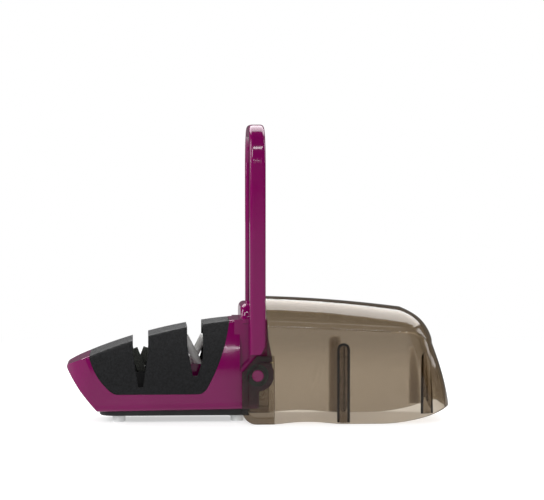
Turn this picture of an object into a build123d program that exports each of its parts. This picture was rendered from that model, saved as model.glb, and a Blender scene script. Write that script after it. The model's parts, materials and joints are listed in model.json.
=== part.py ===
"""Folding two-stage knife sharpener: a boat-shaped base with a slotted insert, a guard loop and a swing-out hood.

All sizes are millimetres. X runs along the length, the base towards -X and the hood towards +X, Y across, Z up.
The shapes are drawn about the hinge axis (x = 0, z = pivot_height) and moved at the end, so that the origin is the
middle of the overall box on the surface that the sharpener stands on.
"""

from build123d import *

import os
from math import atan2, cos, degrees, radians

# ---- driving dimensions ------------------------------------------------------------------------------------------
# Overall reaches and heights
base_reach = 103.9  # hinge axis to the tip of the base
hood_reach = 106.0  # hinge axis to the nose of the hood
pivot_height = 26.4  # hinge axis above the table
loop_height = 162.0  # top of the guard loop above the table
roof_height = 67.7  # front edge of the hood's roof above the table
# Base
base_half_width = 21.5
tip_height = 31.2  # top of the base at its tip
rear_height = 56.0  # top of the base at the rear step
top_bow = 4.6  # how far the top line bows above a straight line
end_bow = 1.0  # how far the tip's end line bows outwards
bottom_front = 6.2  # underside of the shell at the front
bottom_rear = 7.2  # underside of the shell at the rear
heel_reach = 86.5  # hinge axis to the front of the underside
heel_rear = 1.0  # rear end of the underside behind the hinge axis
step_reach = 9.3  # hinge axis to the step behind the insert
tip_rounding = 1.6
plan_corner = 15.0  # plan radius of the base's front corners
lean_start = 25.0  # the base's sides lean in above this height
lean_in = 5.5  # how far they have leaned in at the height of the rear
long_edge = 1.6  # rounding of the base's long upper edges
lower_edge = 4.4  # rounding of the base's long lower edges
shell_wall = 3.0
# Slot insert
insert_front = 90.8  # hinge axis to the insert's front edge, at the top
insert_rear = 14.8  # hinge axis to the insert's rear edge, at the top
skirt_front = 77.5  # front end of the skirt's lower edge
skirt_rear = 29.0  # rear end of the skirt's lower edge
skirt_height = 15.8  # lower edge of the skirt above the table
skirt_corner = 6.0
seat_gap = 0.12  # between insert and shell
seat_overlap = 0.6  # how much thinner the insert is than the shell, so that its seat stays joined to the shell
seat_width = 1.8  # how far the shell's seat reaches under the insert
seat_thickness = 1.4
# Slots
slot_width = 8.5
slot_root_width = 2.6
coarse_slot_reach = 63.2
coarse_slot_root = 19.6
coarse_slot_shoulder = 39.0
fine_slot_reach = 33.6
fine_slot_root = 25.7
fine_slot_shoulder = 42.1
shoulder_drop = 7.0  # how much lower the fine slot's rear shoulder lies
# Abrasives and their holders
stone_side = 4.4
stone_length = 21.0
stone_lean = 21.0  # degrees from upright
stone_cross_height = 29.4
rod_diameter = 4.4
rod_length = 25.0
rod_lean = 27.0  # degrees from upright
rod_cross_height = 35.2
abrasive_gap = 0.3  # between the two crossed pieces
socket_gap = 0.05  # between an abrasive and its holder
holder_half_length = 7.2
holder_half_width = 7.6
stone_carrier_height = 27.0
rod_cradle_height = 31.0
# Sole, feet and screws
sole_height = 3.7  # underside of the sole above the table
sole_thickness = 4.2
sole_inset = 4.8  # edge of the sole in from the base's sides and its rear end
sole_front_inset = 0.9  # the same at the front of the underside
sole_corner = 9.0
sole_ledge = 1.6  # width of the step that the sole bears on
sole_gap = 0.15
foot_diameter = 7.0
foot_recess = 1.2
foot_front_reach = 75.0
foot_rear_reach = 10.5
foot_half_track = 10.5
screw_diameter = 2.8
screw_length = 14.0
screw_head_diameter = 5.4
screw_head_height = 1.8
screw_sink = 0.4  # how far a head lies below the sole's face
screw_gap = 0.02
screw_front_reach = 74.5
screw_middle_reach = 48.4
screw_rear_reach = 21.8
screw_half_track = 9.5
post_diameter = 7.0
# Rear of the base and finger guard
bulkhead_half_width = 18.5
bulkhead_reach = 5.6  # how far the bulkhead runs behind the hinge axis, at its top
bulkhead_belly = 8.2  # the same at its middle
hub_radius = 9.2
hollow_half_width = 12.0
guard_height = 64.5
guard_skirt = 54.2
guard_front = 8.8
guard_back = 3.4
guard_overhang = 0.8
guard_corner = 8.0
guard_edge = 3.0
guard_key_depth = 5.0
guard_key_inset = 4.0
guard_gap = 0.05
# Hinge, from the base outwards
pin_diameter = 6.3
pin_clearance = 0.05  # radial
pin_seat = 9.0  # length of a pin pressed into the hub
washer_thickness = 0.5
washer_diameter = 12.0
layer_gap = 0.05  # axial gap on each side of a washer
eye_thickness = 2.4
eye_radius = 8.8
lug_thickness = 3.9
# Guard loop
leg_thickness = 7.9  # across
leg_width = 8.6  # along X
leg_root_height = 37.8  # lower end of each leg's outer part
leg_taper_run = 2.8  # cut at the lower rear corner of each leg
leg_taper_rise = 5.4
loop_corner = 21.0
loop_edge = 2.0
channel_width = 4.8
channel_depth = 5.2
channel_start = 50.0
strip_thickness = 1.8
strip_gap = 0.1
# Hood
hood_wall = 2.2
crease_front = 53.0  # where the walls turn into the roof, at the front
crease_rear = 47.4  # the same at the nose
roof_middle = 65.0
hood_front_edge = 5.0  # front edge of the hood behind the hinge axis
nose_top_reach = 89.6  # where roof and nose would meet if they were sharp
nose_top_height = 59.8
nose_bow = 2.4
nose_round = 10.0
hood_plan_corner = 17.0
hood_run_on = 30.0  # how far the drawn forms run on past the front edge before they are cut
rim_rise = 8.0  # how far the rim lifts at the nose
rim_flat_end = 66.0
rim_arch = 1.5  # shallow arch in the rim behind the lugs
arch_start = 9.0
arch_end = 44.0
lug_reach = 8.6
lug_top = 10.6  # above the hinge axis
lug_chamfer_reach = 0.5
lug_chamfer_drop = 9.0
lug_corner = 8.0
band_width = 3.2  # raised band round the lug
band_height = 0.8
rib_width = 7.0
rib_depth = 4.1
rib_reaches = (46.5, 92.5)
rib_tops = (43.8, 39.2)

# ---- worked out from the above -----------------------------------------------------------------------------------
washer_inner_face = base_half_width + layer_gap
eye_inner = washer_inner_face + washer_thickness + layer_gap
eye_outer = eye_inner + eye_thickness
washer_outer_face = eye_outer + layer_gap
lug_inner = washer_outer_face + washer_thickness + layer_gap
hood_half_width = lug_inner + lug_thickness
loop_half_width = eye_inner + leg_thickness
insert_wall = shell_wall - seat_overlap
bore_radius = pin_diameter / 2 + pin_clearance
sole_top = sole_height + sole_thickness
beyond = 4 * hood_reach  # longer than any part
ring_depth = 2 * rear_height  # deeper than the base is high
ENDS = ((-1, "near"), (1, "far"))


# ---- helpers -----------------------------------------------------------------------------------------------------
def polygon(*points):
    """A straight-sided face from corner points."""
    return make_face(Polyline(*points, close=True))


def across(face, half=beyond):
    """Stand a face drawn as (x, z) up and extrude it to both sides of the centre plane."""
    return extrude(Plane.XZ * face, half, both=True)


def between(face, y_low, y_high):
    """Stand a face drawn as (x, z) up and extrude it from y_low to y_high."""
    return Pos(0, (y_low + y_high) / 2, 0) * across(face, (y_high - y_low) / 2)


def block(x_low, x_high, y_low, y_high, z_low, z_high):
    """A box from its limits."""
    middle = Pos((x_low + x_high) / 2, (y_low + y_high) / 2, (z_low + z_high) / 2)
    return middle * Box(x_high - x_low, y_high - y_low, z_high - z_low)


def post(x, y, z_low, z_high, radius):
    """A round bar along Z."""
    return Pos(x, y, (z_low + z_high) / 2) * Cylinder(radius, z_high - z_low)


def axle(radius, y_low, y_high):
    """A round bar on the hinge axis."""
    return Pos(0, (y_low + y_high) / 2, pivot_height) * Rot(90, 0, 0) * Cylinder(radius, y_high - y_low)


def nosed_plan(reach, half, corner, rear):
    """A plan face with parallel sides, a straight rear edge and two rounded front corners, towards -X."""
    turn = corner * (1 - cos(radians(45)))
    near_corner = ThreePointArc(
        (-reach + corner, -half), (-reach + turn, -half + turn), (-reach, -half + corner)
    )
    far_corner = ThreePointArc(
        (-reach, half - corner), (-reach + turn, half - turn), (-reach + corner, half)
    )
    return make_face(
        [
            Line((rear, -half), (-reach + corner, -half)),
            near_corner,
            Line((-reach, -half + corner), (-reach, half - corner)),
            far_corner,
            Line((-reach + corner, half), (rear, half)),
            Line((rear, half), (rear, -half)),
        ]
    )


def save(shape, name):
    """Write one sub-part, moved so that the origin is the middle of the overall length."""
    export_step(Pos(middle_shift(), 0, 0) * shape, f"parts/{name}.step")


# ---- base --------------------------------------------------------------------------------------------------------
def base_top_points():
    """Start, middle and end of the arc along the top of the base."""
    tip = (-base_reach, tip_height)
    rear_top = (-step_reach, rear_height)
    middle = ((tip[0] + rear_top[0]) / 2, (tip[1] + rear_top[1]) / 2 + top_bow)
    return tip, middle, rear_top


def base_outline():
    """Side view of the base in front of the step."""
    tip, middle, rear_top = base_top_points()
    rear_bottom = (-step_reach, bottom_rear)
    heel = (-heel_reach, bottom_front)
    top = ThreePointArc(tip, middle, rear_top)
    end = ThreePointArc(
        heel, ((tip[0] + heel[0]) / 2 - end_bow, (tip[1] + heel[1]) / 2 - end_bow / 2), tip
    )
    face = make_face([top, Line(rear_top, rear_bottom), Line(rear_bottom, heel), end])
    return fillet(face.vertices().sort_by(Axis.X)[0], tip_rounding)


def leaning_section(half):
    """Cross-section of the base drawn as (y, z): upright sides that lean in as they rise."""
    rise = rear_height - lean_start
    lean_radius = (rise**2 + lean_in**2) / (2 * lean_in)
    above = rear_height + top_bow
    lean_above = lean_radius - (lean_radius**2 - (above - lean_start) ** 2) ** 0.5
    lean_halfway = lean_radius - (lean_radius**2 - ((above - lean_start) / 2) ** 2) ** 0.5
    halfway = (above + lean_start) / 2
    return make_face(
        [
            Line((-half, -ring_depth), (-half, lean_start)),
            ThreePointArc((-half, lean_start), (-half + lean_halfway, halfway), (-half + lean_above, above)),
            Line((-half + lean_above, above), (half - lean_above, above)),
            ThreePointArc((half - lean_above, above), (half - lean_halfway, halfway), (half, lean_start)),
            Line((half, lean_start), (half, -ring_depth)),
            Line((half, -ring_depth), (-half, -ring_depth)),
        ]
    )


def base_form(inset):
    """The base in front of the step as a closed form, drawn in from its outer surface."""
    outline = base_outline()
    if inset:
        outline = offset(outline, -inset)
    half = base_half_width - inset
    plan = nosed_plan(base_reach - inset, half, plan_corner - inset, beyond)
    form = across(outline) & extrude(Plane.YZ * leaning_section(half), beyond, both=True)
    long_edges = [e for e in form.edges() if e.length > base_reach / 2]
    top_edges = [e for e in long_edges if e.center().Z > lean_start and abs(e.center().Y) > 5]
    form = fillet(top_edges, max(long_edge - inset, 0.4))
    return form & extrude(plan, beyond)


def middle_shift():
    """How far the drawn shapes move along X to bring the middle of the overall length to the origin."""
    return -(base_outline().bounding_box().min.X + hood_reach) / 2


def insert_outline(gap):
    """Side view of the region that the insert fills, grown by gap."""
    front_top = (-insert_front, tip_height + top_bow)
    front_bottom = (-skirt_front, skirt_height)
    rear_bottom = (-skirt_rear, skirt_height)
    rear_top = (-insert_rear, rear_height)
    front_middle = ((front_top[0] + front_bottom[0]) / 2 - 1.8, (front_top[1] + skirt_height) / 2 - 1.2)
    front = ThreePointArc(front_top, front_middle, front_bottom)
    rear = ThreePointArc(
        rear_bottom, ((rear_bottom[0] + rear_top[0]) / 2 + 2.4, (rear_top[1] + skirt_height) / 2), rear_top
    )
    above = rear_height + guard_height
    face = make_face(
        [
            front,
            Line(front_bottom, rear_bottom),
            rear,
            Line(rear_top, (rear_top[0], above)),
            Line((rear_top[0], above), (front_top[0], above)),
            Line((front_top[0], above), front_top),
        ]
    )
    corners = face.vertices().group_by(Axis.Y)[0]
    face = fillet(corners, skirt_corner)
    if gap:
        face = offset(face, gap)
    return face


def rear_block():
    """Bulkhead behind the step, full width only round the hub and below it."""
    column = polygon(
        (-step_reach - shell_wall, rear_height),
        (bulkhead_reach, rear_height),
        (bulkhead_reach + 0.8, pivot_height + 2 * hub_radius),
        (bulkhead_belly, pivot_height + hub_radius),
        (bulkhead_belly, pivot_height),
        (heel_rear, pivot_height - hub_radius),
        (heel_rear, bottom_rear),
        (-step_reach - shell_wall, bottom_rear),
    )
    foot = polygon(
        (-step_reach, pivot_height),
        (heel_rear, pivot_height),
        (heel_rear, bottom_rear),
        (-step_reach, bottom_rear),
    )
    hub = axle(hub_radius, -base_half_width, base_half_width)
    return across(column, bulkhead_half_width) + across(foot, base_half_width) + hub


def rounded_underside():
    """A long bar whose lower corners round the base's underside, sloping with it."""
    half = base_half_width
    face = polygon((-half, 0), (half, 0), (half, beyond), (-half, beyond))
    face = fillet(face.vertices().group_by(Axis.Y)[0], lower_edge)
    slope = degrees(atan2(bottom_rear - bottom_front, heel_reach - step_reach))
    bar = extrude(Plane.YZ * face, beyond, both=True)
    return Pos(-heel_reach, 0, bottom_front) * Rot(0, -slope, 0) * bar


def sole_plan(grow):
    """Plan face of the sole, grown by grow."""
    reach = heel_reach - sole_front_inset + grow
    half = base_half_width - sole_inset + grow
    return nosed_plan(reach, half, sole_corner + grow, heel_rear - sole_inset + grow)


def guard_key(gap):
    """Block on top of the bulkhead that the finger guard sits on."""
    return block(
        -guard_front + guard_key_inset - gap,
        guard_back - guard_key_inset / 2 + gap,
        -bulkhead_half_width + guard_key_inset - gap,
        bulkhead_half_width - guard_key_inset + gap,
        rear_height - guard_key_depth,
        rear_height + guard_key_depth + gap,
    )


def make_base_shell():
    """Purple tub: walls, seat for the insert, bulkhead with hubs, opening for the sole."""
    form = (base_form(0) + rear_block()) & rounded_underside()
    seat_depth = insert_wall + seat_gap
    seat = base_form(seat_depth) - base_form(seat_depth + seat_thickness)
    band = across(insert_outline(seat_width)) - across(insert_outline(-seat_width))
    shell = form - base_form(shell_wall) - across(insert_outline(0))
    shell = shell + (seat & band)
    shell = shell - block(
        -step_reach - 2 * shell_wall,
        heel_rear - shell_wall / 2,
        -hollow_half_width,
        hollow_half_width,
        sole_top + sole_ledge,
        rear_height - guard_key_depth,
    )
    shell = shell + guard_key(0)
    shell = shell - extrude(sole_plan(sole_gap), sole_top)
    shell = shell - extrude(sole_plan(-sole_ledge), sole_top + 2 * shell_wall)
    return shell - axle(pin_diameter / 2, -beyond, beyond)


def slot_outline(reach, shoulder, root, drop=0.0):
    """Side view of a knife slot: straight above its shoulders, narrowing to the root."""
    half = slot_width / 2
    root_half = slot_root_width / 2
    above = rear_height + guard_height
    return polygon(
        (-reach - half, above),
        (-reach - half, shoulder),
        (-reach - root_half, root),
        (-reach + root_half, root),
        (-reach + half, shoulder - drop),
        (-reach + half, above),
    )


def screw_places():
    """Centres of the four screws that draw sole and insert together."""
    middle = [(-screw_middle_reach, side * screw_half_track) for side in (-1, 1)]
    return [(-screw_front_reach, 0), *middle, (-screw_rear_reach, 0)]


def make_slot_insert():
    """Black saddle over the tub, with the two knife slots and four screw posts."""
    insert = (base_form(0) & across(insert_outline(-seat_gap))) - base_form(insert_wall)
    core = base_form(insert_wall / 2)
    tip_of_thread = sole_height + screw_sink + screw_length
    for x, y in screw_places():
        insert = insert + (post(x, y, sole_top, rear_height, post_diameter / 2) & core)
        insert = insert - post(x, y, sole_top - 1, tip_of_thread + 1, screw_diameter / 2 + screw_gap)
    insert = insert - across(slot_outline(coarse_slot_reach, coarse_slot_shoulder, coarse_slot_root))
    fine_slot = slot_outline(fine_slot_reach, fine_slot_shoulder, fine_slot_root, shoulder_drop)
    return insert - across(fine_slot)


def make_finger_guard():
    """Purple ridge across the rear of the base that keeps fingers off the blade."""
    outer = block(
        -guard_front,
        guard_back,
        -bulkhead_half_width - guard_overhang,
        bulkhead_half_width + guard_overhang,
        guard_skirt,
        guard_height,
    )
    outer = fillet(outer.edges().filter_by(Axis.X).group_by(Axis.Z)[-1], guard_corner)
    guard_middle = (guard_back - guard_front) / 2
    top_loop = [e for e in outer.edges() if e.center().Z > guard_skirt + 1]
    outer = fillet([e for e in top_loop if abs(e.center().X - guard_middle) > 2], guard_edge)
    below = block(
        -beyond,
        beyond,
        -bulkhead_half_width - guard_gap,
        bulkhead_half_width + guard_gap,
        0,
        rear_height + guard_gap,
    )
    return outer - below - guard_key(guard_gap)


def make_sole():
    """Black bottom plate with pockets for the feet and sunk screw heads."""
    plate = extrude(Pos(0, 0, sole_height) * sole_plan(0), sole_thickness)
    plate = chamfer(plate.faces().sort_by(Axis.Z)[0].edges(), 0.6)
    for x, y in foot_places():
        plate = plate - post(x, y, 0, sole_height + foot_recess, foot_diameter / 2)
    head_top = sole_height + screw_sink + screw_head_height
    for x, y in screw_places() + holder_places():
        plate = plate - post(x, y, 0, head_top, screw_head_diameter / 2 + screw_gap)
        plate = plate - post(x, y, 0, sole_top + 1, screw_diameter / 2 + screw_gap)
    return plate


def foot_places():
    """Centres of the four rubber feet."""
    return [
        (-reach, side * foot_half_track) for reach in (foot_front_reach, foot_rear_reach) for side in (-1, 1)
    ]


def holder_places():
    """Centres of the two abrasive holders."""
    return [(-coarse_slot_reach, 0), (-fine_slot_reach, 0)]


def make_foot(x, y):
    """Rubber foot, pressed into the sole and rounded at the floor."""
    foot = post(x, y, 0, sole_height + foot_recess, foot_diameter / 2)
    return fillet(foot.edges().sort_by(Axis.Z)[0], 0.8)


def make_screws(places):
    """Pan-head screws, one solid for each place."""
    screws = []
    for x, y in places:
        head_low = sole_height + screw_sink
        head = post(x, y, head_low, head_low + screw_head_height, screw_head_diameter / 2)
        drive = block(x - 1.6, x + 1.6, y - 0.3, y + 0.3, head_low, head_low + 0.9)
        cross = block(x - 0.3, x + 0.3, y - 1.6, y + 1.6, head_low, head_low + 0.9)
        shank = post(x, y, head_low, head_low + screw_length, screw_diameter / 2)
        screws.append(head + shank - drive - cross)
    return Compound(screws)


# ---- abrasives ---------------------------------------------------------------------------------------------------
def crossed(reach, cross_height, lean, side, section):
    """A bar drawn upright on the origin, leaned over and stood beside its partner."""
    offset_y = side * (section / 2 + abrasive_gap / 2)
    return Pos(-reach, offset_y, cross_height) * Rot(0, side * lean, 0)


def make_stone(side, grow=0.0):
    """Square coarse stone."""
    bar = Box(stone_side + 2 * grow, stone_side + 2 * grow, stone_length + 2 * grow)
    return crossed(coarse_slot_reach, stone_cross_height, stone_lean, side, stone_side) * bar


def make_rod(side, grow=0.0):
    """Round ceramic rod."""
    bar = Cylinder(rod_diameter / 2 + grow, rod_length + 2 * grow)
    if not grow:
        bar = chamfer(bar.edges().filter_by(GeomType.CIRCLE), 0.5)
    return crossed(fine_slot_reach, rod_cross_height, rod_lean, side, rod_diameter) * bar


def make_holder(reach, height, maker):
    """Block on the sole with two crossed sockets and a screw hole from below."""
    holder = block(
        -reach - holder_half_length,
        -reach + holder_half_length,
        -holder_half_width,
        holder_half_width,
        sole_top,
        height,
    )
    holder = fillet(holder.edges().filter_by(Axis.Z), 1.0)
    for side, _ in ENDS:
        holder = holder - maker(side, socket_gap)
    depth = sole_height + screw_sink + screw_length
    return holder - post(-reach, 0, 0, depth, screw_diameter / 2 + screw_gap)


# ---- hinge -------------------------------------------------------------------------------------------------------
def outward(side, low, high):
    """Limits in Y of a layer that lies between two distances from the centre plane, on one side."""
    return (low, high) if side > 0 else (-high, -low)


def make_pin(side):
    """Hinge pin pressed into the hub, its domed end flush with the lug."""
    low, high = outward(side, base_half_width - pin_seat, hood_half_width + band_height / 2)
    pin = axle(pin_diameter / 2, low, high)
    return chamfer(pin.edges().filter_by(GeomType.CIRCLE), 0.4)


def make_washer(side, face):
    """Friction washer on the hinge pin."""
    low, high = outward(side, face, face + washer_thickness)
    return axle(washer_diameter / 2, low, high) - axle(bore_radius, low - 1, high + 1)


# ---- guard loop --------------------------------------------------------------------------------------------------
def arch(half, top, corner, low):
    """Front view of an arch, drawn as (y, z), open at low."""
    turn = corner * (1 - cos(radians(45)))
    return make_face(
        [
            Line((-half, low), (-half, top - corner)),
            ThreePointArc((-half, top - corner), (-half + turn, top - turn), (-half + corner, top)),
            Line((-half + corner, top), (half - corner, top)),
            ThreePointArc((half - corner, top), (half - turn, top - turn), (half, top - corner)),
            Line((half, top - corner), (half, low)),
            Line((half, low), (-half, low)),
        ]
    )


def arch_band(outer_inset, inner_inset, half_thickness, low):
    """The stretch of the loop between two insets from its outer surface."""
    outer = arch(
        loop_half_width - outer_inset, loop_height - outer_inset, loop_corner - outer_inset, low
    )
    inner = arch(
        loop_half_width - inner_inset, loop_height - inner_inset, loop_corner - inner_inset, low - 1
    )
    return extrude(Plane.YZ * (outer - inner), half_thickness, both=True)


def make_guard_loop():
    """Purple loop: an arch with a channel on its inner side, and an eye on each leg."""
    loop = arch_band(0, leg_thickness, leg_width / 2, leg_root_height)
    ends = loop.faces().sort_by(Axis.Z)[:2]
    end_edges = [e for face in ends for e in face.edges()]
    long_edges = [
        e for e in loop.edges() if abs(abs(e.center().X) - leg_width / 2) < 0.01 and e not in end_edges
    ]
    loop = fillet(long_edges, loop_edge)
    floor = leg_thickness - channel_depth
    loop = loop - arch_band(floor, leg_thickness + 1, channel_width / 2, channel_start)
    taper = polygon(
        (leg_width / 2 - leg_taper_run, leg_root_height - 1),
        (leg_width / 2 - leg_taper_run, leg_root_height),
        (leg_width / 2, leg_root_height + leg_taper_rise),
        (leg_width, leg_root_height + leg_taper_rise),
        (leg_width, leg_root_height - 1),
    )
    loop = loop - across(taper)
    for side, _ in ENDS:
        low, high = outward(side, eye_inner, eye_outer)
        neck_half = leg_width / 2 - leg_taper_run / 2
        neck = block(-leg_width / 2, neck_half, low, high, pivot_height, leg_root_height + leg_taper_rise)
        loop = loop + neck + axle(eye_radius, low, high)
    return loop - axle(bore_radius, -beyond, beyond)


def make_inner_strip():
    """Strip that closes the channel of the loop, flush with its inner face."""
    return arch_band(
        leg_thickness - strip_thickness,
        leg_thickness,
        channel_width / 2 - strip_gap,
        channel_start + strip_gap,
    )


# ---- hood --------------------------------------------------------------------------------------------------------
def hood_section(x, crease, roof, inset):
    """Cross-section of the hood as a closed face at x: upright walls and an arched roof."""
    half = hood_half_width - inset
    below = -roof_height
    return Plane.YZ.offset(x) * make_face(
        [
            Line((-half, below), (-half, crease - inset / 2)),
            ThreePointArc((-half, crease - inset / 2), (0, roof - inset), (half, crease - inset / 2)),
            Line((half, crease - inset / 2), (half, below)),
            Line((half, below), (-half, below)),
        ]
    )


def hood_outline():
    """Side view of roof and nose, running on well past the front edge and below the rim."""
    roof_start = (-hood_run_on, roof_height)
    nose_top = (nose_top_reach, nose_top_height)
    nose_foot = (hood_reach, rim_rise)
    nose_middle = (
        (nose_top[0] + nose_foot[0]) / 2 + nose_bow,
        (nose_top[1] + nose_foot[1]) / 2 + nose_bow / 2,
    )
    face = make_face(
        [
            ThreePointArc(roof_start, (hood_reach / 2, roof_middle), nose_top),
            ThreePointArc(nose_top, nose_middle, nose_foot),
            Line(nose_foot, (hood_reach, -roof_height)),
            Line((hood_reach, -roof_height), (-hood_run_on, -roof_height)),
            Line((-hood_run_on, -roof_height), roof_start),
        ]
    )
    corner = [v for v in face.vertices() if abs(v.X - nose_top_reach) < 0.1]
    return fillet(corner, nose_round)


def hood_form(inset):
    """The hood as a closed form that runs on past its front edge and rim, drawn in from its outer surface."""
    stations = (
        (-hood_run_on, crease_front + 1.5, roof_height + 0.1),
        (hood_reach / 2, (crease_front + crease_rear) / 2, roof_middle + 0.1),
        (hood_reach + 8, crease_rear - 1.0, nose_top_height - 3.5),
    )
    body = loft([hood_section(x, crease, roof, inset) for x, crease, roof in stations])
    outline = hood_outline()
    if inset:
        outline = offset(outline, -inset)
    plan = nosed_plan(hood_reach - inset, hood_half_width - inset, hood_plan_corner - inset, hood_run_on)
    turned = Rot(0, 0, 180) * extrude(plan, beyond, both=True)
    return body & across(outline) & turned


def hood_limits():
    """Side view of what the hood keeps: behind its front edge and above its rim."""
    nose_rim = (hood_reach + 1, rim_rise)
    rim_middle = ((rim_flat_end + nose_rim[0]) / 2, rim_rise / 4)
    return make_face(
        [
            Line((hood_front_edge, 2 * roof_height), (hood_front_edge, 0)),
            Line((hood_front_edge, 0), (arch_start, 0)),
            ThreePointArc((arch_start, 0), ((arch_start + arch_end) / 2, rim_arch), (arch_end, 0)),
            Line((arch_end, 0), (rim_flat_end, 0)),
            ThreePointArc((rim_flat_end, 0), rim_middle, nose_rim),
            Line(nose_rim, (nose_rim[0], 2 * roof_height)),
            Line((nose_rim[0], 2 * roof_height), (hood_front_edge, 2 * roof_height)),
        ]
    )


def lug_outline():
    """Side view of a lug, from the hood's wall forwards round the hinge axis."""
    face = polygon(
        (arch_start, 0),
        (-lug_reach, 0),
        (-lug_reach, pivot_height + lug_top - lug_chamfer_drop),
        (-lug_chamfer_reach, pivot_height + lug_top),
        (arch_start, pivot_height + lug_top),
    )
    corner = [v for v in face.vertices() if v.X < 0 and v.Y < 1]
    return fillet(corner, lug_corner)


def rib_outline(reach, top):
    """Side view of a guide rib: an upright bar with a round top."""
    half = rib_width / 2
    start, end = reach - half, reach + half
    bar = polygon((start, 0), (end, 0), (end, top - half), (start, top - half))
    return bar + Pos(reach, top - half) * Circle(half)


def make_hood_shell():
    """Smoke-grey hood: one wall thickness, a lug each side and guide ribs inside."""
    hood = (hood_form(0) - hood_form(hood_wall)) & across(hood_limits())
    core = hood_form(hood_wall / 2) & across(hood_limits())
    for reach, top in zip(rib_reaches, rib_tops):
        for side, _ in ENDS:
            bar = Pos(reach, side * (hood_half_width - hood_wall)) * Ellipse(rib_width / 2, rib_depth)
            hood = hood + (extrude(bar, top) & across(rib_outline(reach, top)) & core)
    lug = lug_outline()
    band = lug - Pos(band_width, 0) * offset(lug, -band_width)
    for side, _ in ENDS:
        low, high = outward(side, lug_inner, hood_half_width)
        hood = hood + between(lug, low, high)
        low, high = outward(side, lug_inner, hood_half_width + band_height)
        hood = hood + between(band, low, high)
    return hood - axle(bore_radius, -beyond, beyond)


# ---- write every sub-part ----------------------------------------------------------------------------------------
os.makedirs("parts", exist_ok=True)
save(make_base_shell(), "base_shell")
save(make_slot_insert(), "slot_insert")
save(make_finger_guard(), "finger_guard")
save(make_sole(), "base_sole")
for (foot_x, foot_y), foot_name in zip(foot_places(), ("front_near", "front_far", "rear_near", "rear_far")):
    save(make_foot(foot_x, foot_y), f"foot_{foot_name}")
save(make_screws(screw_places()), "base_screws")
save(make_screws(holder_places()), "holder_screws")
save(make_holder(coarse_slot_reach, stone_carrier_height, make_stone), "stone_carrier")
save(make_holder(fine_slot_reach, rod_cradle_height, make_rod), "rod_cradle")
for end, end_name in ENDS:
    save(make_stone(end), f"coarse_stone_{end_name}")
    save(make_rod(end), f"ceramic_rod_{end_name}")
    save(make_pin(end), f"hinge_pin_{end_name}")
    save(make_washer(end, washer_inner_face), f"inner_washer_{end_name}")
    save(make_washer(end, washer_outer_face), f"outer_washer_{end_name}")
save(make_guard_loop(), "guard_loop")
save(make_inner_strip(), "loop_inner_strip")
save(make_hood_shell(), "hood_shell")
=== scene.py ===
# %% [markdown]
# # A folding knife sharpener
# The sharpener has a purple base with a grained black slot insert, an upright guard loop and a clear hood
# with a smoke tint. Its working model is loaded first and fixes every size. Most pieces are shown as they
# come, with a finish of their own. Only the clear hood is drawn again, because every facet shows in clear
# plastic.

# %% Load the working model
import bmesh
import bpy
import json
import math
from mathutils import Matrix, Vector


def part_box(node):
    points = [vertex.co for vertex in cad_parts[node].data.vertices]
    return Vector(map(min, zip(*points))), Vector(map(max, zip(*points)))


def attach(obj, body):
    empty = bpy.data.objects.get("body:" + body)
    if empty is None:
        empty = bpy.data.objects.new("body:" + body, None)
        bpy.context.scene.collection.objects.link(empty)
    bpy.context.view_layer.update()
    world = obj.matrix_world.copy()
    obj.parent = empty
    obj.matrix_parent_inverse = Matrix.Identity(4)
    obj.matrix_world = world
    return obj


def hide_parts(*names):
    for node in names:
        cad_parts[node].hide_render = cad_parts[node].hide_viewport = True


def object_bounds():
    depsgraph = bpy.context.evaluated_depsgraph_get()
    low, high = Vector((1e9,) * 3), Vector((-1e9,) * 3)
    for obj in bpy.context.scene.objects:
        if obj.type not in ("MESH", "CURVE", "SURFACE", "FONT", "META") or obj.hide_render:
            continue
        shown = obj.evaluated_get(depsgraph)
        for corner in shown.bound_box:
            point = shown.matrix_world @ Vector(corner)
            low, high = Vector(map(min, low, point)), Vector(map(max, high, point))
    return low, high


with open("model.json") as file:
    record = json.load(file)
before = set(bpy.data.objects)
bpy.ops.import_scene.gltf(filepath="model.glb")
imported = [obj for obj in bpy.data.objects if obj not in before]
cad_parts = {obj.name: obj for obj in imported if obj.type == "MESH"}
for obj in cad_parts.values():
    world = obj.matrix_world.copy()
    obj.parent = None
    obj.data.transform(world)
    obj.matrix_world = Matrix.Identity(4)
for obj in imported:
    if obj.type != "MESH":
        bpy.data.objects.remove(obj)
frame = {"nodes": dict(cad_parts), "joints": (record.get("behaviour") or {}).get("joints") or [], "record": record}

cad_low, cad_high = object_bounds()
nodes = frame["nodes"]
joints = {joint["name"]: joint for joint in frame["joints"]}
hinge = Vector(joints["hood_hinge"]["pos_m"])
mm = 0.001
print("nodes", len(nodes), "box", [round(v, 4) for v in cad_high - cad_low], "hinge", tuple(hinge))

# %% [markdown]
# ## Camera
# A long lens from a little above the table keeps the side view almost flat. A short lens would splay the
# far leg of the loop and show more of the top. The place is counted from the middle of the object.

# %% Camera
centre_x = (cad_low.x + cad_high.x) / 2
camera_data = bpy.data.cameras.new("catalogue_camera")
camera_data.lens = 144.4
camera_data.sensor_width = 36
camera_data.clip_end = 20
camera = bpy.data.objects.new("catalogue_camera", camera_data)
camera.location = (centre_x - 63.3 * mm, -1200 * mm, 146 * mm)
camera.rotation_euler = (math.radians(90 - 2.52), 0, math.radians(-3.4))
bpy.context.scene.collection.objects.link(camera)
bpy.context.scene.camera = camera
print("camera at", tuple(round(v, 4) for v in camera.location))

# %% [markdown]
# ## Studio
# Glossy dark plastic shows the room more than its own colour. The room is therefore dark to mirror rays,
# with a little more light behind than in front. What the lens and the clear hood look through is plain
# white, so one background colour depends on the kind of ray. A white room alone would wash the purple
# out.

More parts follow.
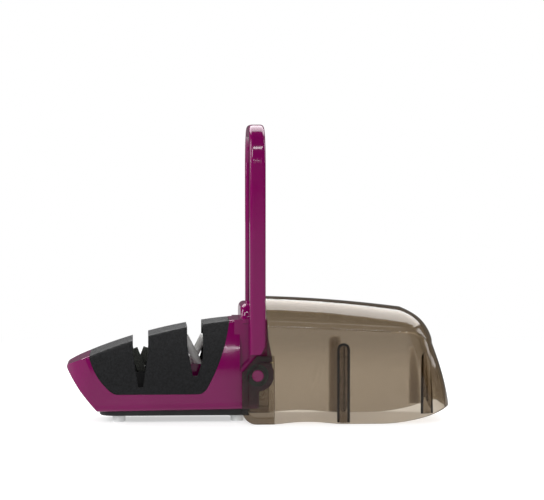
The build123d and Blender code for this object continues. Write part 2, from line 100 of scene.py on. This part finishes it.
# %% World: dark to mirrors, white to the lens
bpy.context.scene.view_settings.view_transform = "Standard"
world = bpy.data.worlds.new("studio_room")
bpy.context.scene.world = world
world.use_nodes = True
room = world.node_tree
room.nodes.clear()
room_direction = room.nodes.new("ShaderNodeTexCoord")
room_split = room.nodes.new("ShaderNodeSeparateXYZ")
room_ramp = room.nodes.new("ShaderNodeValToRGB")
room_ramp.color_ramp.elements[0].position = 0.50
room_ramp.color_ramp.elements[0].color = (0.02, 0.02, 0.02, 1)
room_ramp.color_ramp.elements[1].position = 0.95
room_ramp.color_ramp.elements[1].color = (0.12, 0.12, 0.12, 1)
room_half = room.nodes.new("ShaderNodeMath")
room_half.operation = "MULTIPLY_ADD"
room_half.inputs[1].default_value = 0.5
room_half.inputs[2].default_value = 0.5
room_path = room.nodes.new("ShaderNodeLightPath")
room_seen = room.nodes.new("ShaderNodeMath")
room_seen.operation = "MAXIMUM"
room_mix = room.nodes.new("ShaderNodeMix")
room_mix.data_type = "RGBA"
room_mix.inputs["B"].default_value = (1, 1, 1, 1)
room_light = room.nodes.new("ShaderNodeBackground")
room_out = room.nodes.new("ShaderNodeOutputWorld")
room.links.new(room_direction.outputs["Generated"], room_split.inputs["Vector"])
room.links.new(room_split.outputs["Y"], room_half.inputs[0])
room.links.new(room_half.outputs["Value"], room_ramp.inputs["Fac"])
room.links.new(room_path.outputs["Is Camera Ray"], room_seen.inputs[0])
room.links.new(room_path.outputs["Is Transmission Ray"], room_seen.inputs[1])
room.links.new(room_seen.outputs["Value"], room_mix.inputs["Factor"])
room.links.new(room_ramp.outputs["Color"], room_mix.inputs["A"])
room.links.new(room_mix.outputs["Result"], room_light.inputs["Color"])
room.links.new(room_light.outputs["Background"], room_out.inputs["Surface"])
print("room nodes", len(room.nodes))

# %% [markdown]
# The floor is one pale matte sheet that glows a little, so it meets the white background without a
# horizon. A lit matte floor alone would fall off to grey. The glow fades to full white away from the
# object, carries a painted shadow where the object closes the floor in, and is at half strength for
# mirror rays, which keeps the glossy sides dark.

# %% Floor
floor_front, floor_back, floor_side = -3.5, 3.5, 2.5
floor_mesh = bpy.data.meshes.new("floor")
floor_bm = bmesh.new()
bmesh.ops.create_grid(floor_bm, x_segments=1, y_segments=1, size=1)
bmesh.ops.scale(floor_bm, vec=(floor_side, (floor_back - floor_front) / 2, 1), verts=floor_bm.verts)
bmesh.ops.translate(floor_bm, vec=(0, (floor_back + floor_front) / 2, -0.02 * mm), verts=floor_bm.verts)
floor_bm.to_mesh(floor_mesh)
floor_bm.free()
floor = bpy.data.objects.new("floor", floor_mesh)
bpy.context.scene.collection.objects.link(floor)
print("floor", floor_side * 2, "by", floor_back - floor_front)

# %% [markdown]
# The glow is worked out, not taken from an image: from the distance to the middle, from the kind of ray
# that looks at it, and from how closed in a place is, which paints shadow under and round the object.

# %% Floor finish
floor_material = bpy.data.materials.new("pale_floor")
floor_material.use_nodes = True
floor_shader = floor_material.node_tree.nodes["Principled BSDF"]
floor_shader.inputs["Base Color"].default_value = (0.42, 0.42, 0.42, 1)
floor_shader.inputs["Roughness"].default_value = 0.6
floor_shader.inputs["Specular IOR Level"].default_value = 0.25
floor_shader.inputs["Emission Color"].default_value = (1, 1, 1, 1)
# Painted shadow: an occlusion node dims the floor's glow where the object closes it in.
floor_shade = floor_material.node_tree.nodes.new("ShaderNodeAmbientOcclusion")
floor_shade.samples = 8
floor_shade.inputs["Distance"].default_value = 0.075
floor_glow_painted_shadow = floor_material.node_tree.nodes.new("ShaderNodeMapRange")
floor_glow_painted_shadow.inputs["From Max"].default_value = 0.3
floor_glow_painted_shadow.inputs["To Min"].default_value = 0.5
floor_glow_painted_shadow.inputs["To Max"].default_value = 0.76
floor_mesh.materials.append(floor_material)
floor_tree = floor_material.node_tree
floor_tree.links.new(floor_shade.outputs["AO"], floor_glow_painted_shadow.inputs["Value"])
floor_tree.links.new(floor_glow_painted_shadow.outputs["Result"], floor_shader.inputs["Emission Strength"])
floor_place = floor_tree.nodes.new("ShaderNodeTexCoord")
floor_distance = floor_tree.nodes.new("ShaderNodeVectorMath")
floor_distance.operation = "LENGTH"
floor_fade = floor_tree.nodes.new("ShaderNodeMapRange")
floor_fade.interpolation_type = "SMOOTHSTEP"
floor_fade.inputs["From Min"].default_value = 0.22
floor_fade.inputs["From Max"].default_value = 0.55
floor_glow = floor_tree.nodes.new("ShaderNodeEmission")
floor_mix = floor_tree.nodes.new("ShaderNodeMixShader")
floor_tree.links.new(floor_place.outputs["Object"], floor_distance.inputs[0])
floor_tree.links.new(floor_distance.outputs["Value"], floor_fade.inputs["Value"])
floor_tree.links.new(floor_fade.outputs["Result"], floor_mix.inputs["Fac"])
floor_tree.links.new(floor_shader.outputs["BSDF"], floor_mix.inputs[1])
floor_tree.links.new(floor_glow.outputs["Emission"], floor_mix.inputs[2])
floor_path = floor_tree.nodes.new("ShaderNodeLightPath")
floor_half = floor_tree.nodes.new("ShaderNodeMath")
floor_half.operation = "MULTIPLY"
floor_half.inputs[1].default_value = 0.5
floor_dark = floor_tree.nodes.new("ShaderNodeEmission")
floor_dark.inputs["Strength"].default_value = 0
floor_seen = floor_tree.nodes.new("ShaderNodeMixShader")
floor_mirror = floor_tree.nodes.new("ShaderNodeMath")
floor_mirror.operation = "SUBTRACT"
floor_mirror.use_clamp = True
floor_tree.links.new(floor_path.outputs["Is Glossy Ray"], floor_mirror.inputs[0])
floor_tree.links.new(floor_path.outputs["Is Transmission Ray"], floor_mirror.inputs[1])
floor_tree.links.new(floor_mirror.outputs["Value"], floor_half.inputs[0])
floor_tree.links.new(floor_half.outputs["Value"], floor_seen.inputs["Fac"])
floor_tree.links.new(floor_mix.outputs["Shader"], floor_seen.inputs[1])
floor_tree.links.new(floor_dark.outputs["Emission"], floor_seen.inputs[2])
floor_tree.links.new(floor_seen.outputs["Shader"], floor_tree.nodes["Material Output"].inputs["Surface"])
print("floor nodes", len(floor_tree.nodes))

# %% [markdown]
# Soft boxes stand behind, at the sides and high in front. A bare lamp would leave hard spots on gloss.
# Two small cards low in front are seen only in the leaning upper part of the sides, and give it a narrow
# light edge.

# %% Soft boxes
def soft_box(name, place, aim, width, height, power):
    """A rectangular area light at place, turned towards aim."""
    data = bpy.data.lights.new(name, "AREA")
    data.shape = "RECTANGLE"
    data.size = width
    data.size_y = height
    data.energy = power
    light = bpy.data.objects.new(name, data)
    light.location = place
    light.rotation_euler = (Vector(aim) - Vector(place)).to_track_quat("-Z", "Y").to_euler()
    bpy.context.scene.collection.objects.link(light)
    print(name, "power", power)
    return light


aim = (0, 0, 50 * mm)
soft_box("back_box", (0.05, 0.62, 0.85), aim, 1.5, 0.75, 15)
soft_box("left_box", (-0.9, 0.1, 0.45), aim, 0.35, 0.7, 5)
soft_box("right_box", (1.0, 0.25, 0.5), aim, 0.4, 0.7, 3)
soft_box("front_strip", (0.12, -0.77, 0.95), aim, 0.7, 0.12, 3)
soft_box("front_fill", (-0.7, -0.9, 0.75), aim, 0.5, 0.5, 6)
soft_box("thin_card", (-0.035, -1.0, 0.3045), (-0.035, 0, 0.05), 0.165, 0.010, 0.16)
soft_box("broad_card", (-0.055, -1.0, 0.269), (-0.055, 0, 0.03), 0.110, 0.022, 0.4)

# %% [markdown]
# ## Shared surface effects
# Moulded plastic is never one flat colour or one gloss. Two small groups serve the finishes: one lets a
# value drift in soft patches, and one is a fine grain. Each material places them with its own scale.


# %% Group: soft patches
def patches_group():
    """Group that puts out a value which drifts softly between a low and a high figure."""
    group = bpy.data.node_groups.new("soft_patches", "ShaderNodeTree")
    group.interface.new_socket("Scale", in_out="INPUT", socket_type="NodeSocketFloat").default_value = 40
    group.interface.new_socket("Low", in_out="INPUT", socket_type="NodeSocketFloat").default_value = 0.1
    group.interface.new_socket("High", in_out="INPUT", socket_type="NodeSocketFloat").default_value = 0.2
    group.interface.new_socket("Value", in_out="OUTPUT", socket_type="NodeSocketFloat")
    enter = group.nodes.new("NodeGroupInput")
    leave = group.nodes.new("NodeGroupOutput")
    place = group.nodes.new("ShaderNodeTexCoord")
    noise = group.nodes.new("ShaderNodeTexNoise")
    noise.inputs["Detail"].default_value = 4
    spread = group.nodes.new("ShaderNodeMapRange")
    spread.inputs["From Min"].default_value = 0.35
    spread.inputs["From Max"].default_value = 0.65
    group.links.new(place.outputs["Object"], noise.inputs["Vector"])
    group.links.new(enter.outputs["Scale"], noise.inputs["Scale"])
    group.links.new(noise.outputs["Fac"], spread.inputs["Value"])
    group.links.new(enter.outputs["Low"], spread.inputs["To Min"])
    group.links.new(enter.outputs["High"], spread.inputs["To Max"])
    group.links.new(spread.outputs["Result"], leave.inputs["Value"])
    return group


def grain_group():
    """Group that puts out the normal and the height of a fine cast or eroded grain."""
    group = bpy.data.node_groups.new("fine_grain", "ShaderNodeTree")
    group.interface.new_socket("Scale", in_out="INPUT", socket_type="NodeSocketFloat").default_value = 2000
    group.interface.new_socket("Depth", in_out="INPUT", socket_type="NodeSocketFloat").default_value = 0.00002
    group.interface.new_socket("Normal", in_out="OUTPUT", socket_type="NodeSocketVector")
    group.interface.new_socket("Height", in_out="OUTPUT", socket_type="NodeSocketFloat")
    enter = group.nodes.new("NodeGroupInput")
    leave = group.nodes.new("NodeGroupOutput")
    place = group.nodes.new("ShaderNodeTexCoord")
    noise = group.nodes.new("ShaderNodeTexNoise")
    noise.inputs["Detail"].default_value = 2
    bump = group.nodes.new("ShaderNodeBump")
    group.links.new(place.outputs["Object"], noise.inputs["Vector"])
    group.links.new(enter.outputs["Scale"], noise.inputs["Scale"])
    group.links.new(noise.outputs["Fac"], bump.inputs["Height"])
    group.links.new(enter.outputs["Depth"], bump.inputs["Distance"])
    group.links.new(bump.outputs["Normal"], leave.inputs["Normal"])
    group.links.new(noise.outputs["Fac"], leave.inputs["Height"])
    return group


soft_patches = patches_group()
fine_grain = grain_group()
print("groups", soft_patches.name, fine_grain.name)

# %% [markdown]
# ## Finishes
# Each opaque finish is one Principled shader with two shades mixed by patches, a gloss that drifts, and a
# grain. They could be built one by one, but they differ only in figures. One function makes them all, and
# each call gives the two shades, the range of roughness, the size of the patches, and the size and depth
# of the grain.


# %% Opaque finishes
def opaque_finish(name, dark, light, gloss, patch_scale, grain_scale, grain_depth, level=0.5, metal=0.0):
    """An opaque material from two shades, a range of roughness and a grain."""
    material = bpy.data.materials.new(name)
    material.use_nodes = True
    tree = material.node_tree
    shader = tree.nodes["Principled BSDF"]
    shader.inputs["Metallic"].default_value = metal
    shader.inputs["Specular IOR Level"].default_value = level
    shade = tree.nodes.new("ShaderNodeMix")
    shade.data_type = "RGBA"
    shade.inputs["A"].default_value = (*dark, 1)
    shade.inputs["B"].default_value = (*light, 1)
    shade_patches = tree.nodes.new("ShaderNodeGroup")
    shade_patches.node_tree = soft_patches
    shade_patches.inputs["Scale"].default_value = patch_scale
    shade_patches.inputs["Low"].default_value = 0.0
    shade_patches.inputs["High"].default_value = 1.0
    gloss_patches = tree.nodes.new("ShaderNodeGroup")
    gloss_patches.node_tree = soft_patches
    gloss_patches.inputs["Scale"].default_value = patch_scale * 2.7
    gloss_patches.inputs["Low"].default_value = gloss[0]
    gloss_patches.inputs["High"].default_value = gloss[1]
    grain = tree.nodes.new("ShaderNodeGroup")
    grain.node_tree = fine_grain
    grain.inputs["Scale"].default_value = grain_scale
    grain.inputs["Depth"].default_value = grain_depth
    tree.links.new(shade_patches.outputs["Value"], shade.inputs["Factor"])
    tree.links.new(shade.outputs["Result"], shader.inputs["Base Color"])
    tree.links.new(gloss_patches.outputs["Value"], shader.inputs["Roughness"])
    tree.links.new(grain.outputs["Normal"], shader.inputs["Normal"])
    return material


gloss_purple = opaque_finish(
    "gloss_purple", (0.165, 0.0018, 0.074), (0.178, 0.0022, 0.081), (0.08, 0.13), 30, 700, 4e-6
)
strip_purple = opaque_finish(
    "strip_purple", (0.12, 0.0012, 0.05), (0.135, 0.0016, 0.056), (0.14, 0.2), 30, 700, 5e-6
)
pin_purple = opaque_finish(
    "pin_purple", (0.14, 0.008, 0.06), (0.16, 0.01, 0.07), (0.25, 0.35), 60, 900, 8e-6
)
# The light patches of the grained black are partly the grain's own tone and partly painted sheen: fine speckles
# that stand in for the grain catching the light.
grain_and_painted_sheen_black = opaque_finish(
    "grain_and_painted_sheen_black", (0.0012, 0.0014, 0.002), (0.008, 0.0085, 0.010), (0.4, 0.54), 900, 1200, 3.2e-4,
    level=0.3,
)
sole_black = opaque_finish(
    "sole_black", (0.010, 0.010, 0.011), (0.014, 0.014, 0.015), (0.4, 0.55), 60, 1800, 3e-5
)
clear_silicone = opaque_finish(
    "clear_silicone", (0.72, 0.73, 0.73), (0.80, 0.81, 0.81), (0.35, 0.5), 120, 1500, 2e-5
)
zinc_steel = opaque_finish(
    "zinc_steel", (0.50, 0.50, 0.51), (0.62, 0.62, 0.62), (0.22, 0.34), 200, 1500, 5e-6, metal=1.0
)
black_nylon = opaque_finish(
    "black_nylon", (0.010, 0.010, 0.011), (0.015, 0.015, 0.016), (0.35, 0.45), 120, 1500, 1e-5
)
coarse_grit = opaque_finish(
    "coarse_grit", (0.030, 0.032, 0.028), (0.10, 0.105, 0.09), (0.6, 0.8), 1400, 3200, 2.2e-4
)
white_ceramic = opaque_finish(
    "white_ceramic", (0.80, 0.79, 0.76), (0.88, 0.87, 0.85), (0.3, 0.42), 160, 3000, 1.2e-5
)

# %% [markdown]
# The hood is clear plastic with a smoke tint. A tinted surface would be equally dark everywhere. Here the
# tint is in the depth of the material: absorption darkens long paths, so edges and ribs go dark by
# themselves while the walls stay clear. Shadows pass straight through with half the tint, which keeps the
# floor below pale.


# %% Clear finish
def clear_finish(name, wall, through):
    """A tinted clear plastic: through is the share of each colour that one wall thickness lets pass."""
    material = bpy.data.materials.new(name)
    material.use_nodes = True
    tree = material.node_tree
    shader = tree.nodes["Principled BSDF"]
    shader.inputs["Base Color"].default_value = (1, 1, 1, 1)
    shader.inputs["Transmission Weight"].default_value = 1.0
    shader.inputs["IOR"].default_value = 1.49
    rates = [-math.log(share) / wall for share in through]
    density = 1.2 * max(rates)
    absorb = tree.nodes.new("ShaderNodeVolumeAbsorption")
    absorb.inputs["Density"].default_value = density
    absorb.inputs["Color"].default_value = (*[1 - rate / density for rate in rates], 1)
    gloss = tree.nodes.new("ShaderNodeGroup")
    gloss.node_tree = soft_patches
    gloss.inputs["Scale"].default_value = 60
    gloss.inputs["Low"].default_value = 0.03
    gloss.inputs["High"].default_value = 0.07
    shadow = tree.nodes.new("ShaderNodeBsdfTransparent")
    shadow.inputs["Color"].default_value = (*[share ** 0.5 for share in through], 1)
    path = tree.nodes.new("ShaderNodeLightPath")
    mix = tree.nodes.new("ShaderNodeMixShader")
    out = tree.nodes["Material Output"]
    tree.links.new(gloss.outputs["Value"], shader.inputs["Roughness"])
    tree.links.new(path.outputs["Is Shadow Ray"], mix.inputs["Fac"])
    tree.links.new(shader.outputs["BSDF"], mix.inputs[1])
    tree.links.new(shadow.outputs["BSDF"], mix.inputs[2])
    tree.links.new(mix.outputs["Shader"], out.inputs["Surface"])
    tree.links.new(absorb.outputs["Volume"], out.inputs["Volume"])
    print(name, "density", round(density))
    return material


tint_wall = 2.2 * mm
smoke_clear = clear_finish("smoke_clear", tint_wall, (0.45, 0.395, 0.325))

# %% [markdown]
# ## Finishes on the working model
# The pieces whose shape is already right keep it and only get their finish. The finish could be set piece
# by piece; a table by slot does it once, and a new screw or washer finds its finish by itself.

# %% Dress the working model
finish_by_slot = {
    "purple_gloss": gloss_purple,
    "purple_strip": strip_purple,
    "purple_pin": pin_purple,
    "black_grain": grain_and_painted_sheen_black,
    "black_sole": sole_black,
    "black_holder": sole_black,
    "clear_foot": clear_silicone,
    "screw_steel": zinc_steel,
    "nylon_washer": black_nylon,
    "coarse_stone": coarse_grit,
    "white_ceramic": white_ceramic,
    "smoke_clear": smoke_clear,
}
for part in frame["record"]["subparts"]:
    node = nodes[part["node"]]
    node.data.materials.clear()
    node.data.materials.append(finish_by_slot[part["material_slot"]])
    for face in node.data.polygons:
        face.material_index = 0
print("dressed", len(nodes))

# %% [markdown]
# ## The clear hood
# The real hood is one injection moulding: a scoop with upright walls, a crowned roof and a rounded nose.
# A block with bevelled edges would look like a box, because the roof's edge runs round the nose and fades
# there. A flat grid is bent over the hood instead: one direction runs round the walls, the other from rim
# to ridge.

# %% Hood sizes, in millimetres from the hinge axis
_, hood_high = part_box("hood_shell")
hood_half = 29.0
hood_front = 5.0
hood_reach = (hood_high.x - hinge.x) / mm
hood_wall = 2.2
core_inset = 0.8
plan_corner = 17.0
ridge_end = 80.0
nose_crease_reach = 96.7
nose_crease_height = 42.5
roof_arc_radius = 36.0
print("hood reach", round(hood_reach, 1))


def rim_height(x):
    """Lower edge of the wall: a shallow arch behind the lugs, then flat, then rising to the nose."""
    arch = 1.4 * math.sin(math.pi * (x - 9) / 35) if 9 < x < 44 else 0.0
    rise = 9.0 * ((x - 66) / 40) ** 2 if x > 66 else 0.0
    return arch + rise


def crease_height(x):
    """Where wall turns into roof: nearly level, then falling round the nose corner."""
    fall = 0.052 * (x - 84) ** 2 if x > 84 else 0.0
    return max(53.2 - 0.045 * (x - 5) - fall, nose_crease_height)


def ridge_height(x):
    """Height of the roof on the centre line."""
    return 67.75 - 0.03 * (x - 5) - 0.00069 * (x - 5) ** 2


def nose_reach(z):
    """How far the nose reaches at a height below the crease."""
    return hood_reach - 0.1 - 0.095 * max(z - 8, 0) - 0.0051 * max(z - 8, 0) ** 2


def roof_share(q):
    """Share of the roof's rise at a share q of the half-width: a circular arc."""
    drop = roof_arc_radius - math.sqrt(roof_arc_radius ** 2 - (q * hood_half) ** 2)
    full = roof_arc_radius - math.sqrt(roof_arc_radius ** 2 - hood_half ** 2)
    return 1 - drop / full


# %% [markdown]
# The grid's points are placed by formula. The skin is then smoothed, and given its wall by thickening
# inwards. A second grid with a floor and a front, drawn in by less than the wall, becomes a solid core.
# It trims the ribs, so that none of them shows outside the curved corner.

# %% Bend a grid over the hood
WALL_STEPS, CORNER_STEPS, NOSE_STEPS = 16, 8, 6
round_steps = 2 * WALL_STEPS + 2 * CORNER_STEPS + NOSE_STEPS
wall_levels = (0.0, 0.03, 0.15, 0.35, 0.55, 0.75, 0.93, 0.985)
roof_levels = (1.0, 0.97, 0.88, 0.76, 0.62, 0.48, 0.34, 0.2, 0.08, 0.0)
level_count = len(wall_levels) + len(roof_levels)


def round_the_hood(step, reach, half, corner):
    """Plan place of a grid step on the way round: near wall, corner, nose, corner, far wall."""
    side = -1 if step <= round_steps / 2 else 1
    step = min(step, round_steps - step)
    straight = reach - corner
    if step <= WALL_STEPS:
        return hood_front + (straight - hood_front) * step / WALL_STEPS, side * half
    step -= WALL_STEPS
    if step <= CORNER_STEPS:
        angle = math.pi / 2 * step / CORNER_STEPS
        return straight + corner * math.sin(angle), side * (half - corner + corner * math.cos(angle))
    step -= CORNER_STEPS
    return reach, side * (half - corner) * (1 - 2 * step / NOSE_STEPS)


def hood_place(step, level):
    """Where a grid point lies on the outer skin of the hood; level -1 is the middle of a closing floor."""
    if level < 0:
        x, y = round_the_hood(step, ridge_end, 0, 0)
        return x, y, 0
    if level < len(wall_levels):
        share = wall_levels[level]
        nose_low = rim_height(hood_reach)
        reach = nose_reach(nose_low + share * (nose_crease_height - nose_low))
        x, y = round_the_hood(step, reach, hood_half, plan_corner)
        return x, y, rim_height(x) + share * (crease_height(x) - rim_height(x))
    q = roof_levels[level - len(wall_levels)]
    share = roof_share(q)
    reach = ridge_end + (nose_crease_reach - ridge_end) * (1 - share ** 2.4)
    x, y = round_the_hood(step, reach, hood_half * q, plan_corner * q)
    return x, y, crease_height(x) + share * (ridge_height(x) - crease_height(x))


def finished_mesh(bm, name):
    """A smooth-shaded object made from a bmesh, linked to the scene."""
    mesh = bpy.data.meshes.new(name)
    bm.to_mesh(mesh)
    bm.free()
    for face in mesh.polygons:
        face.use_smooth = True
    piece = bpy.data.objects.new(name, mesh)
    bpy.context.scene.collection.objects.link(piece)
    return piece


def settle_modifiers(piece):
    """Replace a piece's mesh with what its modifiers make, and drop the modifiers."""
    graph = bpy.context.evaluated_depsgraph_get()
    graph.update()
    settled = bpy.data.meshes.new_from_object(piece.evaluated_get(graph))
    piece.modifiers.clear()
    piece.data = settled
    return piece


def hood_skin(closed):
    """The outer skin bent from a grid; a closed one also has a floor and a front."""
    rows = level_count + closed
    bm = bmesh.new()
    bmesh.ops.create_grid(bm, x_segments=round_steps, y_segments=rows - 1, size=1)
    for vert in bm.verts:
        step = round((vert.co.x + 1) / 2 * round_steps)
        level = round((vert.co.y + 1) / 2 * (rows - 1)) - closed
        x, y, z = hood_place(step, level)
        vert.co = (hinge.x + x * mm, y * mm, z * mm)
    bmesh.ops.remove_doubles(bm, verts=bm.verts, dist=0.01 * mm)
    if closed:
        bmesh.ops.holes_fill(bm, edges=[edge for edge in bm.edges if edge.is_boundary])
    bmesh.ops.recalc_face_normals(bm, faces=bm.faces)
    ridge_face = max(bm.faces, key=lambda face: face.calc_center_median().z)
    if ridge_face.normal.z < 0:
        bmesh.ops.reverse_faces(bm, faces=bm.faces)
    return bm


core_bm = hood_skin(closed=True)
for vert in core_bm.verts:
    vert.co -= vert.normal * core_inset * mm
hood_core = finished_mesh(core_bm, "core_tool")
hood_cover = finished_mesh(hood_skin(closed=False), "hood_cover")
smoothing = hood_cover.modifiers.new("smoothing", "SUBSURF")
smoothing.levels = 2
smoothing.render_levels = 2
wall = hood_cover.modifiers.new("wall", "SOLIDIFY")
wall.thickness = hood_wall * mm
wall.offset = -1
wall.use_even_offset = True
settle_modifiers(hood_cover)
print("hood skin faces", len(hood_cover.data.polygons))

# %% [markdown]
# The lugs belong to the same moulding. Each is a plate whose outline is extruded. A raised band follows
# its free edges: the outer face is inset by the width of the band and the middle pushed back. The plate
# runs on past its rear end while this is done and is cut off after, so the band has no leg there.

# %% Lug
lug_inner = 25.1
lug_reach = 8.6
lug_back = 9.0
band_width, band_height = 3.2, 0.8
lug_top, lug_chamfer_top = 10.6, 1.6
lug_chamfer_reach = 0.5
lug_foot = 0.15
lug_corner, lug_edge = 8, 0.35
band_slope = 0.5
recess = band_height + 0.03
pin_height = hinge.z / mm


def place_in_hood(bm, side):
    """Scale a tool drawn in millimetres on the far side, mirror it for the near one, move it to the hinge."""
    bmesh.ops.scale(bm, vec=(mm, side * mm, mm), verts=bm.verts)
    bmesh.ops.translate(bm, vec=(hinge.x, 0, 0), verts=bm.verts)
    bmesh.ops.recalc_face_normals(bm, faces=bm.faces)


def lug_plate(side):
    """A lug with a raised band along its free edges."""
    bm = bmesh.new()
    run_on = lug_back + band_width
    corners = (
        (run_on, lug_foot), (-lug_reach, lug_foot), (-lug_reach, pin_height + lug_chamfer_top),
        (-lug_chamfer_reach, pin_height + lug_top), (run_on, pin_height + lug_top),
    )
    verts = [bm.verts.new((x, lug_inner, z)) for x, z in corners]
    face = bm.faces.new(verts)
    lower_front = verts[1]
    bmesh.ops.bevel(
        bm, geom=[lower_front], offset=lug_corner, offset_type="OFFSET", segments=10, profile=0.5,
        affect="VERTICES", material=-1,
    )
    extruded = bmesh.ops.extrude_face_region(bm, geom=bm.faces[:])
    moved = [item for item in extruded["geom"] if isinstance(item, bmesh.types.BMVert)]
    bmesh.ops.translate(bm, verts=moved, vec=(0, hood_half + band_height - lug_inner, 0))
    bmesh.ops.recalc_face_normals(bm, faces=bm.faces)
    outer = [face for face in bm.faces if face.normal.y > 0.9]
    bmesh.ops.inset_region(bm, faces=outer, thickness=band_width, use_even_offset=True)
    bmesh.ops.inset_region(bm, faces=outer, thickness=band_slope, depth=-recess, use_even_offset=True)
    bmesh.ops.bisect_plane(
        bm, geom=bm.verts[:] + bm.edges[:] + bm.faces[:], plane_co=(lug_back, 0, 0), plane_no=(1, 0, 0),
        clear_outer=True,
    )
    bmesh.ops.holes_fill(bm, edges=[edge for edge in bm.edges if edge.is_boundary])
    sharp = [edge for edge in bm.edges if edge.calc_face_angle(0) > 0.8]
    rounded = [edge for edge in sharp if edge.verts[0].co.x < lug_back - 1]
    bmesh.ops.bevel(
        bm, geom=rounded, offset=lug_edge, offset_type="OFFSET", segments=2, profile=0.5, affect="EDGES",
        material=-1, clamp_overlap=True,
    )
    place_in_hood(bm, side)
    return finished_mesh(bm, "lug_tool")


# %% [markdown]
# A guide rib is a half-round bar with a round top. A cylinder and a ball would need joining. An ellipse
# that is extruded in steps which narrow by a cosine gives bar and top in one. The pin bore is one long
# bar. All tools are joined with Booleans, because loose solids would show their hidden walls through
# clear plastic.

# %% Ribs, bore and joining
rib_half_width, rib_depth = 3.5, 4.1
rib_lift = 0.3
rib_sink = 0.25
rib_reaches_and_tops = ((46.5, 43.8), (92.0, 39.2))
bore_radius = 3.2


def join_tool(piece, tool, operation, keep_tool=False):
    """Join or cut a piece with a tool, then remove the tool unless it is kept."""
    joint = piece.modifiers.new("joint", "BOOLEAN")
    joint.operation = operation
    joint.solver = "MANIFOLD"
    joint.object = tool
    settle_modifiers(piece)
    if not keep_tool:
        bpy.data.objects.remove(tool)
    return piece


def guide_rib(reach, top, side):
    """A half-round rib inside the wall, with a round top."""
    bm = bmesh.new()
    bmesh.ops.create_circle(bm, cap_ends=True, segments=28, radius=1)
    bmesh.ops.scale(bm, vec=(rib_half_width, rib_depth, 1), verts=bm.verts)
    bottom = rim_height(reach + rib_half_width) + rib_lift
    middle = hood_half - hood_wall + rib_sink
    bmesh.ops.translate(bm, vec=(reach, middle, bottom), verts=bm.verts)
    cap = bm.faces[:]
    height, width = bottom, 1.0
    for turn in range(6):
        angle = math.radians(15 * turn)
        new_height = top - rib_half_width + rib_half_width * math.sin(angle)
        extruded = bmesh.ops.extrude_face_region(bm, geom=cap)
        if turn > 0:
            bmesh.ops.delete(bm, geom=cap, context="FACES_ONLY")
        cap = [item for item in extruded["geom"] if isinstance(item, bmesh.types.BMFace)]
        ring = list({vert for face in cap for vert in face.verts})
        bmesh.ops.translate(bm, verts=ring, vec=(0, 0, new_height - height))
        share = math.cos(angle) / width
        bmesh.ops.scale(
            bm, verts=ring, vec=(share, share, 1), space=Matrix.Translation((-reach, -middle, 0))
        )
        height, width = new_height, math.cos(angle)
    bmesh.ops.recalc_face_normals(bm, faces=bm.faces)
    place_in_hood(bm, side)
    return join_tool(finished_mesh(bm, "rib_tool"), hood_core, "INTERSECT", keep_tool=True)


def pin_bore():
    """A long bar on the hinge axis that cuts both pin holes."""
    bm = bmesh.new()
    radius = bore_radius * mm
    bmesh.ops.create_cone(bm, cap_ends=True, segments=48, radius1=radius, radius2=radius, depth=80 * mm)
    bmesh.ops.rotate(bm, verts=bm.verts, matrix=Matrix.Rotation(math.pi / 2, 3, "X"))
    bmesh.ops.translate(bm, verts=bm.verts, vec=hinge)
    return finished_mesh(bm, "bore_tool")


for side in (-1, 1):
    join_tool(hood_cover, lug_plate(side), "UNION")
    for rib_reach, rib_top in rib_reaches_and_tops:
        join_tool(hood_cover, guide_rib(rib_reach, rib_top, side), "UNION")
join_tool(hood_cover, pin_bore(), "DIFFERENCE")
bpy.data.objects.remove(hood_core)
hood_cover.data.set_sharp_from_angle(angle=math.radians(32))
hood_cover.data.materials.clear()
hood_cover.data.materials.append(smoke_clear)
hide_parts("hood_shell")
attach(hood_cover, "hood")
print("hood faces", len(hood_cover.data.polygons))
